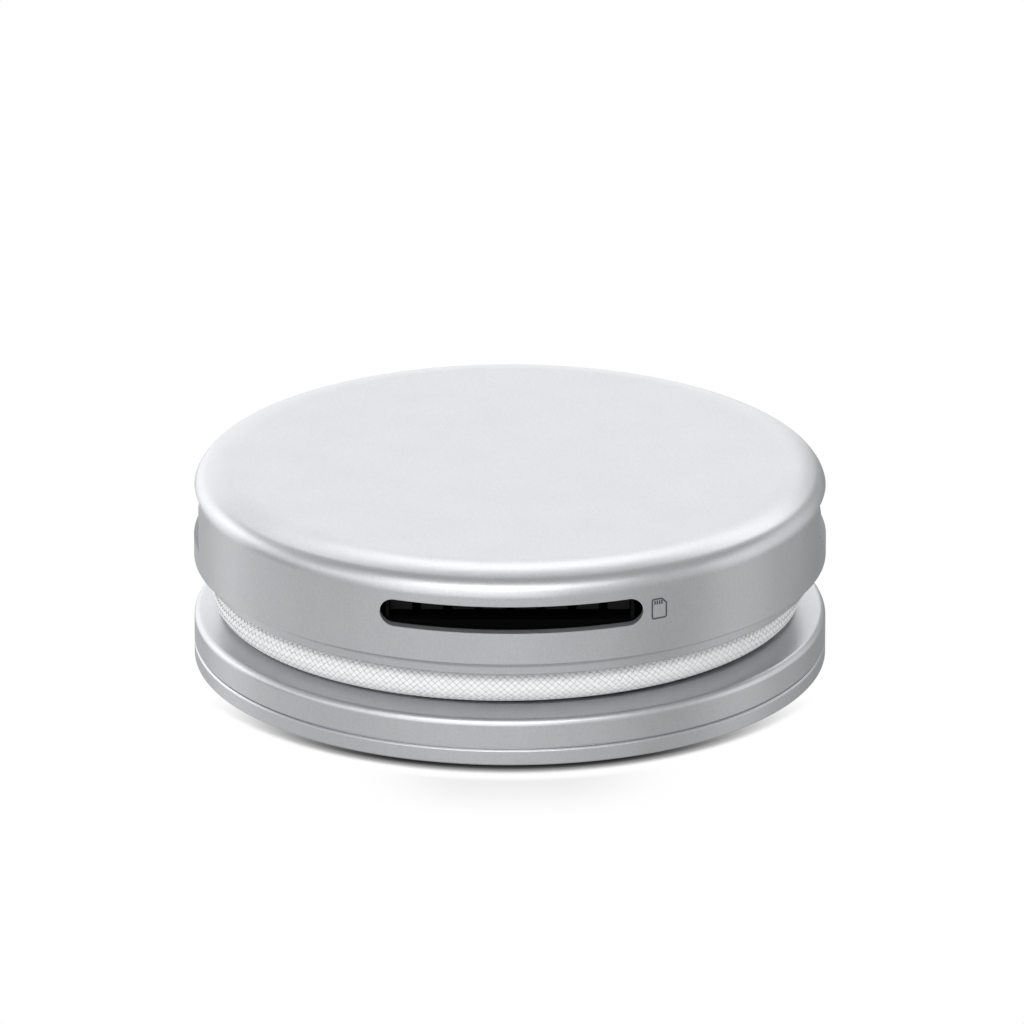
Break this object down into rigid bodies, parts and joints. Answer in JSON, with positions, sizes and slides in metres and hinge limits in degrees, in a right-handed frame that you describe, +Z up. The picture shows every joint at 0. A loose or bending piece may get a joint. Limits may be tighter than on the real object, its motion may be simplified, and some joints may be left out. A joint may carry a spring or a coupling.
{
  "type": "usb multiport adapter",
  "caption": "Round aluminium multiport adapter on a cable spool, with a card slot, rim sockets and a braided cable wound round its waist, its plug docked at the back.",
  "frame": {"origin": "centre of the rubber foot's underside, on the surface the adapter stands on", "axes": "+Z up through the puck, -Y out of the card slot, -X out of the data socket, +X out of the video socket, +Y out of the power socket and the plug's dock"},
  "size_m": [0.071, 0.071, 0.023],
  "materials": {
    "anodised_aluminium": "bead-blasted, clear anodised",
    "white_braid": "white braided sleeve",
    "core_plastic": "fine moulded grain",
    "plug_aluminium": "satin anodised",
    "boot_plastic": "soft moulded",
    "foot_rubber": "matt",
    "connector_steel": "nickel plated sheet",
    "connector_plastic": "black moulded",
    "data_plastic": "blue moulded",
    "contact_gold": "gold flashed",
    "screw_steel": "zinc plated",
    "board_laminate": "solder mask",
    "chip_plastic": "moulded package",
    "component_ceramic": "plated ends",
    "wire_jacket": "twisted insulated wires"
  },
  "bodies": {
    "root": {"top_housing": "anodised_aluminium", "mid_plate": "anodised_aluminium", "base_shell": "anodised_aluminium", "bottom_cover": "anodised_aluminium", "cable": "white_braid", "spool_core": "core_plastic", "strain_relief": "core_plastic", "plug_body": "plug_aluminium", "plug_boot": "boot_plastic", "rubber_foot": "foot_rubber", "data_socket_shell": "connector_steel", "video_socket_shell": "connector_steel", "power_socket_shell": "connector_steel", "card_socket_cover": "connector_steel", "plug_shell": "connector_steel", "card_socket_body": "connector_plastic", "video_socket_insulator": "connector_plastic", "power_socket_insulator": "connector_plastic", "plug_insulator": "connector_plastic", "cable_header": "connector_plastic", "data_socket_insulator": "data_plastic", "card_socket_contacts": "contact_gold", "data_socket_contacts": "contact_gold", "video_socket_contacts": "contact_gold", "power_socket_contacts": "contact_gold", "housing_screws": "screw_steel", "core_screws": "screw_steel", "cover_screws": "screw_steel", "main_board": "board_laminate", "hub_chip": "chip_plastic", "video_chip": "chip_plastic", "power_coil": "chip_plastic", "board_capacitors": "component_ceramic", "crystal": "component_ceramic", "wire_bundle": "wire_jacket"}
  },
  "joints": []
}
